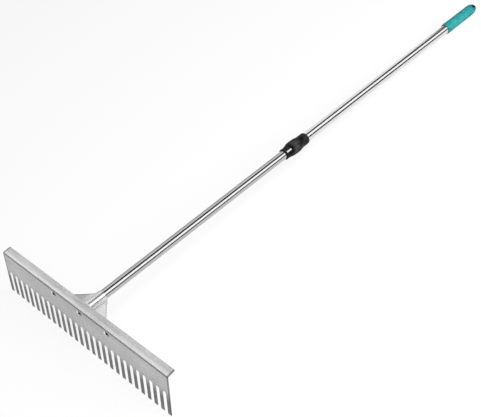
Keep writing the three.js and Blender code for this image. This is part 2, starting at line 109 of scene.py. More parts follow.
poleAxis = Vector(rowNamed(frame["joints"], "pole_slide")["axis"])
lockPoint = Vector(rowNamed(frame["joints"], "nut_turn")["pos_m"])
lockReach = 750              # from the face to the joint's point, along the pole
poleFrame = frameOn(poleAxis, lockPoint - poleAxis * lockReach * millimetre)
poleTurn = poleFrame.to_3x3().normalized()
poleSlope = math.acos(max(-1, min(1, poleAxis.dot(-faceNormal))))
print("frames: pole rises", round(math.degrees(poleSlope), 2), "degrees against the face")


# Drawing helpers

def arc(centre, radius, start, end, steps):
    points = []
    for step in range(steps + 1):
        angle = start + (end - start) * step / steps
        points.append((centre[0] + radius * math.cos(angle), centre[1] + radius * math.sin(angle)))
    return points


def chain(bm, points):       # vertices joined one after another
    verts = [bm.verts.new(point) for point in points]
    edges = [bm.edges.new(pair) for pair in zip(verts, verts[1:])]
    return verts, edges


def vertsOf(geom):
    return [item for item in geom if isinstance(item, bmesh.types.BMVert)]


def edgesOf(geom):
    return [item for item in geom if isinstance(item, bmesh.types.BMEdge)]


def allOf(bm):
    return bm.verts[:] + bm.edges[:] + bm.faces[:]


def merged(bm, distance=weld):
    bmesh.ops.remove_doubles(bm, verts=bm.verts, dist=distance)


def opened(bm, faces):       # takes the faces out; gives the rims of the holes
    bmesh.ops.delete(bm, geom=faces, context="FACES")
    return [edge for edge in bm.edges if edge.is_boundary]


def grown(bm, edges, move=(0, 0, 0)):        # faces off the edges; gives the new rim
    new = bmesh.ops.extrude_edge_only(bm, edges=edges)["geom"]
    verts = vertsOf(new)
    bmesh.ops.translate(bm, verts=verts, vec=move)
    return [edge for edge in edgesOf(new) if all(vert in verts for vert in edge.verts)], verts


def swept(bm, geom, centre, axis, angle, steps):     # part of a turn; gives the last edges
    return edgesOf(bmesh.ops.spin(
        bm, geom=geom, cent=centre, axis=axis, dvec=(0, 0, 0), angle=angle, steps=steps,
        use_merge=False, use_duplicate=False)["geom_last"])


def mirrored(bm):            # adds the other half, across the middle of the rake
    bmesh.ops.mirror(bm, geom=allOf(bm), merge_dist=near, axis="X")


def edgesAt(bm, height):     # edges that lie at one height of the frame
    return [edge for edge in bm.edges
            if all(abs(vert.co.z - height) < near for vert in edge.verts)]


def onCurve(knots, place):   # a smooth line through (place, radius) knots
    slopes = []
    for i in range(len(knots)):
        before = knots[max(0, i - 1)]
        after = knots[min(len(knots) - 1, i + 1)]
        slopes.append((after[1] - before[1]) / (after[0] - before[0]))
    i = 0
    while i < len(knots) - 2 and place > knots[i + 1][0]:
        i += 1
    span = knots[i + 1][0] - knots[i][0]
    t = (place - knots[i][0]) / span
    rise = knots[i + 1][1] - knots[i][1]
    first = slopes[i] * span
    last = slopes[i + 1] * span
    curve = 3 * rise - 2 * first - last
    twist = first + last - 2 * rise
    return knots[i][1] + first * t + curve * t ** 2 + twist * t ** 3


def turned(profile, steps, closed=False):    # (radius, place) pairs spun about the pole
    bm = bmesh.new()
    verts, edges = chain(bm, [(radius, place, 0) for radius, place in profile])
    if closed:
        edges.append(bm.edges.new((verts[-1], verts[0])))
    bmesh.ops.spin(
        bm, geom=verts + edges, cent=(0, 0, 0), axis=(0, 1, 0), dvec=(0, 0, 0),
        angle=2 * math.pi, steps=steps, use_merge=True, use_duplicate=False)
    merged(bm)
    return bm


def bowed(start, control, end, share):       # a point on a curve that bows to the control
    return start * (1 - share) ** 2 + control * 2 * share * (1 - share) + end * share ** 2


def softened(profile, radius, steps):        # closed profile with every corner rounded
    points = []
    for i, corner in enumerate(profile):
        corner = Vector(corner)
        before = Vector(profile[i - 1]) - corner
        after = Vector(profile[(i + 1) % len(profile)]) - corner
        start = corner + before.normalized() * radius
        end = corner + after.normalized() * radius
        points += [tuple(bowed(start, corner, end, step / steps)) for step in range(steps + 1)]
    return points


def tidied(bm, distance=weld):
    merged(bm, distance)
    bmesh.ops.recalc_face_normals(bm, faces=bm.faces)
    return bm


def rounded(bm, edges, radius, segments):
    bmesh.ops.bevel(
        bm, geom=edges, offset=radius, offset_type="OFFSET", affect="EDGES",
        segments=segments, profile=0.5, material=-1, clamp_overlap=True)


def cornersCut(bm, verts, radius, segments):     # sheet corners rounded in their own plane
    bmesh.ops.bevel(
        bm, geom=verts, offset=radius, offset_type="OFFSET", affect="VERTICES",
        segments=segments, profile=0.5, material=-1)


creaseAngle = 35             # faces that meet at more keep a sharp edge
noCreases = 180


def finished(bm, name, place, finish, sharpAngle=creaseAngle):
    bmesh.ops.transform(bm, matrix=place, verts=bm.verts)
    mesh = bpy.data.meshes.new(name)
    bm.to_mesh(mesh)
    bm.free()
    mesh.shade_smooth()
    mesh.set_sharp_from_angle(angle=rad(sharpAngle))
    piece = bpy.data.objects.new(name, mesh)
    bpy.context.scene.collection.objects.link(piece)
    mesh.materials.append(finish)
    return piece


def mounted(piece, body, node):
    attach(piece, body)
    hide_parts(node)
    print("piece:", piece.name, "on", body)


sheetEdge = {
    "segments": 2,
    "angle": rad(50),        # folds below it stay as they are
}


def sheetWalls(piece, thickness, edgeRadius):
    walls = piece.modifiers.new("walls", "SOLIDIFY")
    walls.thickness = thickness * millimetre
    walls.offset = 0
    walls.use_even_offset = True
    edges = piece.modifiers.new("edges", "BEVEL")
    edges.width = edgeRadius * millimetre
    edges.segments = sheetEdge["segments"]
    edges.limit_method = "ANGLE"
    edges.angle_limit = sheetEdge["angle"]
    edges.harden_normals = True


def softBody(piece, levels=2):
    smooth = piece.modifiers.new("smooth", "SUBSURF")
    smooth.levels = smooth.render_levels = levels


# Materials
# A noise is given as scale, detail and roughness, a bump as strength and depth, a fade as the
# places or distances where it starts and ends, a range as the darkest and the lightest share of
# a level, and a finish as the level of its colour and its roughness

class Wire:                  # one socket, with the sums that the materials use
    def __init__(self, graph, plug):
        self.graph = graph
        self.socket = plug

    def __add__(self, other):
        return self.graph.maths("ADD", self, other)

    def __radd__(self, other):
        return self.graph.maths("ADD", other, self)

    def __sub__(self, other):
        return self.graph.maths("SUBTRACT", self, other)

    def __rsub__(self, other):
        return self.graph.maths("SUBTRACT", other, self)

    def __mul__(self, other):
        return self.graph.maths("MULTIPLY", self, other)

    def __rmul__(self, other):
        return self.graph.maths("MULTIPLY", other, self)

    def __abs__(self):
        return self.graph.maths("ABSOLUTE", self)


class Graph:                 # the nodes of a material or of the world
    def __init__(self, holder, output):
        holder.use_nodes = True
        self.holder = holder
        self.tree = holder.node_tree
        self.tree.nodes.clear()
        self.output = self.tree.nodes.new(output)

    def wire(self, node, inputs):
        for key, value in inputs.items():
            name = key.replace("_", " ") if isinstance(key, str) else key
            if isinstance(value, Wire):
                self.tree.links.new(value.socket, node.inputs[name])
            else:
                node.inputs[name].default_value = value

    def node(self, kind, settings=None, inputs=None, output=0):
        node = self.tree.nodes.new(kind)
        for name, value in (settings or {}).items():
            if name == "stops":
                self.setStops(node.color_ramp, value)
            else:
                setattr(node, name, value)
        self.wire(node, inputs or {})
        return Wire(self, node.outputs[output])

    def setStops(self, ramp, stops):
        while len(ramp.elements) < len(stops):
            ramp.elements.new(1)
        for element, (place, level) in zip(ramp.elements, stops):
            element.position = place
            element.color = (*level, 1) if isinstance(level, tuple) else grey(level)

    def surface(self, shader):
        self.wire(self.output, {"Surface": shader})
        return self.holder

    def principled(self, **inputs):
        return self.surface(self.node("ShaderNodeBsdfPrincipled", {}, inputs))

    def place(self, scale=(1, 1, 1), turn=(0, 0, 0)):
        coordinates = self.node("ShaderNodeTexCoord", output="Object")
        return self.node("ShaderNodeMapping", {}, {
            "Vector": coordinates, "Rotation": turn, "Scale": scale})

    def span(self, value, start, end):       # 0 up to the start, 1 from the end on
        return self.node("ShaderNodeMapRange", {"clamp": True}, {
            "Value": value, "From_Min": start, "From_Max": end})

    def part(self, vector, axis):
        return self.node("ShaderNodeSeparateXYZ", {}, {"Vector": vector}, output=axis)

    def along(self, axis, start, end):       # by the place along X, Y or Z
        return self.span(self.part(self.place(), axis), start, end)

    def facing(self, start, end, either=True):   # by how far a face looks along X, either way
        side = self.part(self.node("ShaderNodeTexCoord", output="Normal"), 0)
        return self.span(abs(side) if either else side, start, end)

    def maths(self, operation, *values):
        return self.node("ShaderNodeMath", {"operation": operation}, dict(enumerate(values)))

    def vectors(self, operation, *values, output=0):
        settings = {"operation": operation}
        return self.node("ShaderNodeVectorMath", settings, dict(enumerate(values)), output)

    def offset(self, point):
        return self.vectors("SUBTRACT", self.place(), point)

    def around(self, point, axis, start, end):   # by the distance from a line
        across = self.vectors("CROSS_PRODUCT", self.offset(point), axis)
        return self.span(self.vectors("LENGTH", across, output="Value"), start, end)

    def noise(self, scale, detail, roughness=0.55, grain=(1, 1, 1), turn=(0, 0, 0)):
        return self.node("ShaderNodeTexNoise", {}, {
            "Vector": self.place(grain, turn), "Scale": scale, "Detail": detail,
            "Roughness": roughness})

    def ramp(self, value, places, colours):
        stops = list(zip(places, colours))
        return self.node("ShaderNodeValToRGB", {"stops": stops}, {"Fac": value})

    def shaded(self, value, places, shares, level):      # a ramp of shares of one grey level
        return self.ramp(value, places, [min(1, level * share) for share in shares])

    def mixed(self, factor, first, second):
        return self.node(
            "ShaderNodeMix", {"data_type": "RGBA"}, {0: factor, 6: first, 7: second}, output=2)

    def blend(self, factor, first, second):
        return self.node("ShaderNodeMixShader", {}, {0: factor, 1: first, 2: second})

    def glow(self, kind, strength):      # plain white light
        return self.node(kind, {}, {"Color": grey(1), "Strength": strength})

    def bump(self, height, strength, distance):
        return self.node("ShaderNodeBump", {}, {
            "Height": height, "Strength": strength, "Distance": distance})


def grey(level):
    return (level, level, level, 1)


def material(name):
    return Graph(bpy.data.materials.new(name), "ShaderNodeOutputMaterial")


def weighed(values, shares):     # several noises as one
    first, *others = [value * share for value, share in zip(values, shares)]
    return sum(others, first)


# Blade: one slot and its two half tines, repeated, folded over and given its thickness

steel = {
    "grain": (1.5, 60, 60),      # the streaks run along the blade
    "cloudGrain": (1, 2.2, 2.2),
    "streaks": (9, 6, 0.62),
    "speckle": (380, 4, 0.7),
    "clouds": (11, 3),
    "shares": (0.34, 0.46, 0.2),
    "places": (0.38, 0.62),      # tones that take the darkest and the lightest colour
    "face": (0.33, 0.62),        # darkest and lightest colour
    # painted light: the flange, the top of the same sheet, is painted lighter than the face
    "flange": (0.36, 0.74),
    "front": (0.5, 0.94),        # of the flange next to the fold, a painted highlight
    # painted shade: the tines darken towards their tips, as the dark ground they reflect
    "foot": (0.1, 0.27),
    "footShadeFade": (0.072, 0.045),
    "flangeFade": (-0.8155, -0.812),
    "frontHighlightFade": (-0.809, -0.804),
    "foldShade": 0.24,                # painted shade: a dark line under the fold
    "foldShadePlace": (0, 0, -3.2),
    "foldShadeFade": (0.001, 0.0026),
    "foldShadeShare": 0.45,
    "cut": 0.9,                  # painted highlight on the cut edges of the slots
    "cutHighlightFade": (0.75, 0.95),
    "end": 0.12,                 # painted shade along both ends
    "endShadeFade": (0.2945, 0.298),
    "endShadeShare": 0.8,
    "rivetHighlight": 0.9,                  # painted highlight on one side of each rivet
    "rivetHighlightShift": (-4.8, 0, -3),
    "rivetShadow": 0.03,               # and painted shadow on the other side
    "rivetShadowShift": (5.4, 0, -0.4),
    "spotFade": (0.003, 0.0058),
    "spotShare": 0.85,
    "rough": 0.3,
    "roughStreaks": 0.14,
    "roughFoot": 0.12,
    "bump": (0.3, 0.0004),
}


def rivetPlace(side):        # on the face, at the CAD rivet's own height
    low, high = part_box("blade_rivet_centre")
    middle = headFrame.inverted() @ ((low + high) / 2)
    return Vector((side * blade["rivetSpread"], 0, middle.z))


def bladeSteel():            # rolled sheet; painted light on the flange, painted shade at the tines
    graph = material("rolledSheetSteel")
    streaks = graph.noise(*steel["streaks"], grain=steel["grain"])
    speckle = graph.noise(*steel["speckle"])
    clouds = graph.noise(*steel["clouds"], grain=steel["cloudGrain"])
    tone = weighed((streaks, speckle, clouds), steel["shares"])
    parts = ("face", "flange", "front", "foot")
    face, flange, front, foot = [graph.ramp(tone, steel["places"], steel[part]) for part in parts]
    # painted shade towards the tine tips, which are also rougher
    low = graph.along(2, *steel["footShadeFade"])
    # painted light on the flange, with a painted highlight next to the fold
    top = graph.mixed(graph.along(1, *steel["frontHighlightFade"]), front, flange)
    colour = graph.mixed(graph.along(1, *steel["flangeFade"]), face, top)
    colour = graph.mixed(low, colour, foot)
    # painted shade in the crease under the fold
    line = headFrame @ Vector(steel["foldShadePlace"])
    foldShade = 1 - graph.around(line, (1, 0, 0), *steel["foldShadeFade"])
    colour = graph.mixed(foldShade * steel["foldShadeShare"], colour, grey(steel["foldShade"]))
    # painted highlight on the faces that look along X
    colour = graph.mixed(graph.facing(*steel["cutHighlightFade"]), colour, grey(steel["cut"]))
    # painted shade along both ends of the blade
    first, last = steel["endShadeFade"]
    ends = graph.along(0, first, last) + graph.along(0, -first, -last)
    colour = graph.mixed(ends * steel["endShadeShare"], colour, grey(steel["end"]))
    # painted highlight and painted shadow beside each rivet
    for side in (-1, 0, 1):
        for part in ("rivetHighlight", "rivetShadow"):
            place = headFrame @ (rivetPlace(side) + Vector(steel[part + "Shift"]))
            spot = 1 - graph.around(place, faceNormal, *steel["spotFade"])
            colour = graph.mixed(spot * steel["spotShare"], colour, grey(steel[part]))
    return graph.principled(
        Metallic=1, Base_Color=colour,
        Roughness=steel["rough"] + streaks * steel["roughStreaks"] + low * steel["roughFoot"],
        Normal=graph.bump((streaks + speckle) * 0.5, *steel["bump"]))


def flangeStart():           # where the fold ends, from the virtual corner of the fold
    outer = blade["bendRadius"] + blade["sheet"]
    return outer * math.tan((math.pi / 2 - blade["flangeTilt"]) / 2)


def combCell(bm, pitch):     # half a slot and half a tine, then their mirror image
    middle = blade["sheet"] / 2
    half = (pitch - blade["tineWidth"]) / 2
    tip = -blade["faceHeight"]
    slotTop = tip + blade["slotDepth"] - half
    shoulder = slotTop + half * 2
    roundEnd = arc((0, slotTop), half, math.pi / 2, 0, blade["slotSteps"])
    edges = chain(bm, [(x, middle, z) for x, z in roundEnd])[1]
    for vert in grown(bm, edges)[1]:
        vert.co.z = shoulder
    edges = chain(bm, [(half, middle, z) for z in (tip, slotTop, shoulder)])[1]
    for vert in grown(bm, edges)[1]:
        vert.co.x = pitch / 2
    merged(bm)
    for vert in grown(bm, edgesAt(bm, shoulder))[1]:
        vert.co.z = -flangeStart()
    mirrored(bm)


def combFace(bm):
    pitch = (blade["length"] - blade["tineWidth"]) / (blade["tineCount"] - 1)
    combCell(bm, pitch)
    cell = allOf(bm)
    reach = blade["tineCount"] // 2
    for place in range(-reach, reach + 1):
        if place:
            copy = bmesh.ops.duplicate(bm, geom=cell)["geom"]
            bmesh.ops.translate(bm, verts=vertsOf(copy), vec=(place * pitch, 0, 0))
    merged(bm, near)
    for side in (-1, 1):
        bmesh.ops.bisect_plane(
            bm, geom=allOf(bm), dist=weld, plane_co=(side * blade["length"] / 2, 0, 0),
            plane_no=(side, 0, 0), clear_outer=True)


def foldFlange(bm):
    start = flangeStart()
    outer = blade["bendRadius"] + blade["sheet"]
    tilt = blade["flangeTilt"]
    rim = edgesAt(bm, -start)
    ends = list(dict.fromkeys(vert for edge in rim for vert in edge.verts))
    centre = (0, outer, -start)
    rim = swept(bm, rim + ends, centre, (1, 0, 0), tilt - math.pi / 2, blade["bendSteps"])
    step = (blade["flangeDepth"] - start) / blade["flangeRows"]
    for row in range(blade["flangeRows"]):
        rim, verts = grown(bm, rim, (0, step * math.cos(tilt), step * math.sin(tilt)))
    corners = [vert for vert in verts if abs(vert.co.x) > blade["length"] / 2 - near]
    cornersCut(bm, corners, blade["flangeCorner"], blade["cornerSteps"])


def roundTips(bm):
    feet = [vert for vert in bm.verts
            if vert.co.z < near - blade["faceHeight"] and len(vert.link_edges) == 2]
    cornersCut(bm, feet, blade["tipRadius"], blade["tipSteps"])


def buildBlade():
    bm = bmesh.new()
    combFace(bm)
    foldFlange(bm)
    roundTips(bm)
    piece = finished(tidied(bm), "rakeBlade", headFrame, bladeSteel())
    sheetWalls(piece, blade["sheet"], blade["edgeRadius"])
    mounted(piece, "head", "rake_blade")


buildBlade()


# Socket: hump over the tube, wings beside it and a lip behind the face

tube = {
    "lowerRadius": 12.5,
    "upperRadius": 14.05,
    "wall": 1.2,
    "steps": 96,
    "endRound": 0.3,
    "roundSteps": 3,
    "hold": 2,               # rows this far from the ends keep the long faces' shading straight
    "lower": (0.5, 0.08),
    "upper": (0.75, 0.1),
}

socket = {
    "sheet": 1.6,
    "gap": 0.3,
    "wingDrop": 2.6,         # middle of the wings below the middle of the tube
    "foot": 1.2,             # fillet between a wing and the hump
    "footSteps": 6,
    "crownSteps": 12,
    "noseSteps": 12,
    "noseStart": 27.2,       # where the rounded nose meets the straight hump
    "mouth": 71.5,
    "mouthMargin": 0.3,
    "waistHalf": 61,
    "waistShare": 0.4,
    "lipHalf": 106,
    "lipTop": -3.7,          # in the head frame
    "bendRadius": 1,
    "bendSteps": 6,
    "edgeRadius": 0.3,
    "lines": 14,             # steps along the straight hump
    "wingRows": ((0.5, 0), (0.75, 0), (0.9, -0.35), (1, -0.9)),      # share of the width, droop
    "droopWidth": 14,        # wings narrower than this droop less
    "droopPower": 4,         # and the droop ends towards the lip
    "finish": (0.76, 0.24),
    # painted shade on one wing, away from the pole and along its rim
    "wingShade": 0.228,
    "wingShadeFade": (-0.019, -0.033),
    "wingShadeShare": 0.6,
    "rimShadeFade": (0.0175, 0.02),
    "rimShadeFacing": (-0.03, -0.1),
    "rimShadeShare": 0.8,
}

pressed = {                  # sheet steel drawn in a press, also the rivets and the screws
    "grain": (90, 9, 90),
    "streaks": (12, 5, 0.6),
    "clouds": (40, 3),
    "shares": (0.4, 0.6),
    "places": (0.3, 0.7),
    "range": (0.88, 1.1),
    "roughTone": 0.14,
    "bump": (0.08, 0.0003),
}


def pressedSteel(name, level, roughness, paintedShade=None):    # last argument: adds painted shade
    graph = material(name)
    streaks = graph.noise(*pressed["streaks"], grain=pressed["grain"])
    clouds = graph.noise(*pressed["clouds"])
    tone = weighed((streaks, clouds), pressed["shares"])
    colour = graph.shaded(tone, pressed["places"], pressed["range"], level)
    if paintedShade:
        colour = paintedShade(graph, colour)
    return graph.principled(
        Metallic=1, Base_Color=colour, Roughness=roughness + tone * pressed["roughTone"],
        Normal=graph.bump(streaks, *pressed["bump"]))


def paintedWingShade(graph, colour):    # painted shade on one wing, away from the pole and along its rim
    wingShade = graph.along(0, *socket["wingShadeFade"])
    rim = graph.around(poleFrame.translation, poleAxis, *socket["rimShadeFade"])
    rim = rim * graph.facing(*socket["rimShadeFacing"], either=False)
    colour = graph.mixed(wingShade * socket["wingShadeShare"], colour, grey(socket["wingShade"]))
    return graph.mixed(rim * socket["rimShadeShare"], colour, grey(socket["wingShade"]))


def overTube():              # radius of the middle of a sheet that lies round the tube
    return tube["lowerRadius"] + socket["gap"] + socket["sheet"] / 2


def humpSide():              # (x, z) from a wing over to the crown, in the middle of the sheet
    middle = overTube()
    foot = socket["foot"] + socket["sheet"] / 2
    reach = middle + foot
    lean = math.asin((foot - socket["wingDrop"]) / reach)
    centre = (reach * math.cos(lean), reach * math.sin(lean))
    side = arc(centre, foot, -math.pi / 2, lean - math.pi, socket["footSteps"])
    return side + arc((0, 0), middle, lean, math.pi / 2, socket["crownSteps"])[1:]


def planCurve(share):        # outer edge of a wing, from the mouth to the lip
    end = Vector((humpSide()[0][0] + socket["mouthMargin"], socket["mouth"]))
    start = Vector((socket["lipHalf"], blade["sheet"] + socket["gap"] + socket["sheet"]))
    middle = Vector((socket["waistHalf"], start.y + (end.y - start.y) * socket["waistShare"]))
    control = middle * 2 - (start + end) / 2
    return bowed(end, control, start, share)


def buildHump(bm, side):     # the rounded nose, then the straight part up to the mouth
    verts, edges = chain(bm, [(x, socket["noseStart"], z) for x, z in side])
    centre = (0, socket["noseStart"], 0)
    swept(bm, verts + edges, centre, (0, 0, 1), -math.pi / 2, socket["noseSteps"])
    step = (socket["mouth"] - socket["noseStart"]) / socket["lines"]
    for line in range(socket["lines"]):
        edges, verts = grown(bm, edges, (0, step, 0))
    merged(bm)


def wingTargets(feet, level):    # where each foot vertex's line ends, and how far it may droop
    front = wingFront(level)
    straight = [vert for vert in feet if vert.co.y > socket["noseStart"] + near]
    around = feet[len(straight):]
    targets = []
    for i, vert in enumerate(straight):
        share = i / len(straight)
        point = planCurve(share)
        x = max(point.x, vert.co.x + socket["mouthMargin"])
        droop = min(1, (x - vert.co.x) / socket["droopWidth"])
        droop *= 1 - share ** socket["droopPower"]
        targets.append((Vector((x, max(point.y, front), level)), droop))
    for i, vert in enumerate(around):
        x = planCurve(1).x * (1 - i / (len(around) - 1))
        targets.append((Vector((x, front, level)), 0))
    return targets


def buildWings(bm, level):
    edges = [edge for edge in edgesAt(bm, level) if edge.is_boundary]
    feet = sorted({vert for edge in edges for vert in edge.verts},
                  key=lambda vert: (-vert.co.y, -vert.co.x))
    targets = wingTargets(feet, level)
    starts = [vert.co.copy() for vert in feet]
    for share, drop in socket["wingRows"]:
        edges, row = grown(bm, edges)
        nearest = {vert: min(feet, key=lambda foot: (foot.co - vert.co).length) for vert in row}
        order = {foot: i for i, foot in enumerate(feet)}
        placed = [None] * len(feet)
        for vert, foot in nearest.items():
            i = order[foot]
            target, droop = targets[i]
            vert.co = starts[i].lerp(target, share) + Vector((0, 0, drop * droop))
            placed[i] = vert
        feet = placed
    return [vert for vert in feet if abs(vert.co.y - wingFront(level)) < near]


def wingFront(level):        # where the wings start to turn up
    toPole = poleFrame.inverted() @ headFrame
    back = blade["sheet"] + socket["gap"] + socket["sheet"] / 2
    low = toPole @ Vector((0, back, 0))
    up = (toPole.to_3x3() @ Vector((0, 0, 1))).normalized()
    foot = low + up * ((level - low.z) / up.z)
    return foot.y + bendMiddle() * math.tan((math.pi / 2 + poleSlope) / 2)


def bendMiddle():
    return socket["bendRadius"] + socket["sheet"] / 2


def buildLip(bm, rim, level):    # the wings' front turned up behind the face
    centre = Vector((0, wingFront(level), level + bendMiddle()))
    lean = math.pi / 2 + poleSlope
    edges = [edge for edge in bm.edges if all(vert in rim for vert in edge.verts)]
    edges = swept(bm, edges + rim, centre, (1, 0, 0), -lean, socket["bendSteps"])
    radius = bendMiddle()
    end = centre - Vector((0, radius * math.sin(lean), radius * math.cos(lean)))
    height = socket["lipTop"] - (headFrame.inverted() @ poleFrame @ end).z
    grown(bm, edges, (0, math.sin(poleSlope) * height, math.cos(poleSlope) * height))


def buildSocket(finish):
    bm = bmesh.new()
    side = humpSide()
    buildHump(bm, side)
    rim = buildWings(bm, side[0][1])
    buildLip(bm, rim, side[0][1])
    mirrored(bm)
    piece = finished(tidied(bm, near), "socketPlate", poleFrame, finish)
    sheetWalls(piece, socket["sheet"], socket["edgeRadius"])
    mounted(piece, "head", "socket_plate")


sheetFinish = pressedSteel("pressedSheetSteel", *socket["finish"], paintedWingShade)
buildSocket(sheetFinish)


# Strap under the socket and its two screws

strap = {
    "start": 33.5,
    "end": 67.5,
    "earEnd": 25.4,
    "level": -4.5,           # middle of the ears, below the middle of the tube
    "cornerRadius": 3,
    "mouthCorner": 7.5,      # the corners towards the mouth follow the wings
    "cornerSteps": 5,
    "edgeRadius": 0.3,
    "screwInset": 9,
    "steps": 14,
}

screw = {
    "headRadius": 4,
    "headRound": 1.3,
    "headHeight": 2.6,
    "headEdge": 0.2,
    "shankRadius": 1.9,
    "shankLength": 5,
    "tipLength": 1.9,
    "tipRadius": 0.6,
    "driveRadius": 1.6,      # of the hexagon's corners
    "driveDepth": 1.3,
    "driveEdge": 0.1,
    "steps": 48,
    "roundSteps": 6,
    "creaseAngle": 30,
    "finish": (0.5, 0.24),
}


def buildStrap(finish):
    bm = bmesh.new()
    middle = overTube()
    lean = math.asin(strap["level"] / middle)
    curve = arc((0, 0), middle, lean, -math.pi / 2, strap["steps"])
    half = [(strap["earEnd"], strap["level"])] + curve
    edges = chain(bm, [(x, strap["start"], z) for x, z in half])[1]
    grown(bm, edges, (0, strap["end"] - strap["start"], 0))
    for place, corner in (("start", "cornerRadius"), ("end", "mouthCorner")):
        verts = [vert for vert in bm.verts if abs(vert.co.x - strap["earEnd"]) < near
                 and abs(vert.co.y - strap[place]) < near]
        cornersCut(bm, verts, strap[corner], strap["cornerSteps"])
    mirrored(bm)
    piece = finished(tidied(bm), "socketStrap", poleFrame, finish)
    sheetWalls(piece, socket["sheet"], strap["edgeRadius"])
    mounted(piece, "head", "socket_strap")


def pressDrive(bm, floor):   # turns the round drive hole into a hexagon
    for vert in bm.verts:
        radius = math.hypot(vert.co.x, vert.co.z)
        if vert.co.y < floor - near or not near < radius < screw["driveRadius"] + near:
            continue
        turn = math.atan2(vert.co.z, vert.co.x) % (math.pi / 3) - math.pi / 6
        share = math.cos(math.pi / 6) / math.cos(turn)
        vert.co.x *= share
        vert.co.z *= share


def buildScrew(number, place, finish):
    seat = tube["lowerRadius"] + socket["gap"] * 2 + socket["sheet"]
    top = seat + screw["headHeight"]
    foot = seat - screw["shankLength"]
    rim = screw["headRound"]
    floor = top - screw["driveDepth"]
    profile = [
        (0, foot - screw["tipLength"]),
        (screw["tipRadius"], foot - screw["tipLength"] + screw["tipRadius"]),
        (screw["shankRadius"], foot),
        (screw["shankRadius"], seat),
        (screw["headRadius"] - screw["headEdge"], seat),
        (screw["headRadius"], seat + screw["headEdge"]),
        *arc((screw["headRadius"] - rim, top - rim), rim, 0, math.pi / 2, screw["roundSteps"]),
        (screw["driveRadius"] + screw["driveEdge"], top),
        (screw["driveRadius"], top - screw["driveEdge"]),
        (screw["driveRadius"], floor),
        (0, floor),
    ]
    bm = turned(profile, screw["steps"])
    pressDrive(bm, floor)
    down = Matrix.Translation((0, place, 0)) @ Matrix.Rotation(-math.pi / 2, 4, "X")
    bmesh.ops.transform(bm, matrix=down, verts=bm.verts)
    name = "strapScrew" + str(number)
    piece = finished(tidied(bm), name, poleFrame, finish, screw["creaseAngle"])
    mounted(piece, "head", "strap_screw_" + str(number))


buildStrap(sheetFinish)
screwFinish = pressedSteel("screwSteel", *screw["finish"])
buildScrew(1, strap["start"] + strap["screwInset"], screwFinish)
buildScrew(2, strap["end"] - strap["screwInset"], screwFinish)


# Blind rivets: a domed head on the face, with the end of the pin sunk in it

rivet = {
    "headRadius": 4.9,
    "headHeight": 1.9,
    "domeSteps": 10,
    "seat": -0.1,
    "pinRadius": 1.6,
    "pinGap": 0.06,
    "pinDepth": 1.5,
    "pinDome": 0.3,
    "pinDomeShare": 0.7,
    "shankRadius": 2.4,
    "tailRadius": 2.8,
    "tailStart": 3.8,
    "tailLength": 4,
    "tailShares": (0.25, 0.7),       # of its length, between which it is widest
    "steps": 48,
    "finish": (0.85, 0.06),
    "hole": 0.017,               # painted shade round the pin, more to one side
    "holeShadeShift": (2.4, 0, -0.2),
    "holeShadeFade": (0.00266, 0.00322),
}


def pinHoleShade(middle):        # painted shade round the pin of one rivet, as pressedSteel takes it
    place = headFrame @ (middle + Vector(rivet["holeShadeShift"]))

    def darkened(graph, colour):
        hole = 1 - graph.around(place, faceNormal, *rivet["holeShadeFade"])
        return graph.mixed(hole, colour, grey(rivet["hole"]))
    return darkened


def buildRivet(side, word):
    seat = rivet["seat"]
    top = seat - rivet["headHeight"]
    pin = rivet["pinRadius"] - rivet["pinGap"]
    deep = top + rivet["pinDepth"]
    ball = (rivet["headRadius"] ** 2 + rivet["headHeight"] ** 2) / 2 / rivet["headHeight"]
    lean = math.asin(rivet["headRadius"] / ball)
    start = math.asin(rivet["pinRadius"] / ball)
    head = arc(
        (0, top + ball), ball, start - math.pi / 2, lean - math.pi / 2, rivet["domeSteps"])
    tail = rivet["tailStart"]
    end = tail + rivet["tailLength"]
    wide = [tail + rivet["tailLength"] * share for share in rivet["tailShares"]]
    profile = [
        (0, deep - rivet["pinDome"]),
        (pin * rivet["pinDomeShare"], deep - rivet["pinDome"] / 2),
        (pin, deep),
        (pin + rivet["pinGap"] / 2, deep - rivet["pinDome"]),
        *head,
        (rivet["shankRadius"], seat),
        (rivet["shankRadius"], tail),
        *[(rivet["tailRadius"], place) for place in wide],
        (rivet["shankRadius"], end),
        (pin, end),
        (0, end - rivet["pinDome"]),
    ]
    bm = turned(profile, rivet["steps"])
    middle = rivetPlace(side)
    bmesh.ops.translate(bm, verts=bm.verts, vec=middle)
    name = "bladeRivet" + word.capitalize()
    finish = pressedSteel(name + "Steel", *rivet["finish"], pinHoleShade(middle))
    piece = finished(tidied(bm), name, headFrame, finish)
    mounted(piece, "head", "blade_rivet_" + word)


for side, word in ((-1, "left"), (0, "centre"), (1, "right")):
    buildRivet(side, word)


# Tubes

drawn = {                    # aluminium tube with fine lines along it and faint smudges
    "grain": (260, 2, 260),
    "lines": (3, 4, 0.6),
    "smudgeGrain": (1, 0.6, 1),
    "smudges": (14, 3),
    "shares": (0.7, 0.3),
    "places": (0.3, 0.7),
    "range": (0.9, 1.07),
    "roughShare": 0.05,
    "bump": (0.08, 0.0002),
}


def drawnTube(name, level, roughness):
    graph = material(name)
    lie = (-math.asin(poleAxis.z), 0, 0)
    lines = graph.noise(*drawn["lines"], grain=drawn["grain"], turn=lie)
    smudges = graph.noise(*drawn["smudges"], grain=drawn["smudgeGrain"])
    tone = weighed((lines, smudges), drawn["shares"])
    colour = graph.shaded(tone, drawn["places"], drawn["range"], level)
    return graph.principled(
        Metallic=1, Base_Color=colour,
        Roughness=roughness + (lines + smudges) * drawn["roughShare"],
        Normal=graph.bump(lines, *drawn["bump"]))


def poleReach(node):         # first and last place of a node along the pole
    turn = poleFrame.inverted()
    places = [(turn @ vert.co).y for vert in frame["nodes"][node].data.vertices]
    return min(places), max(places)


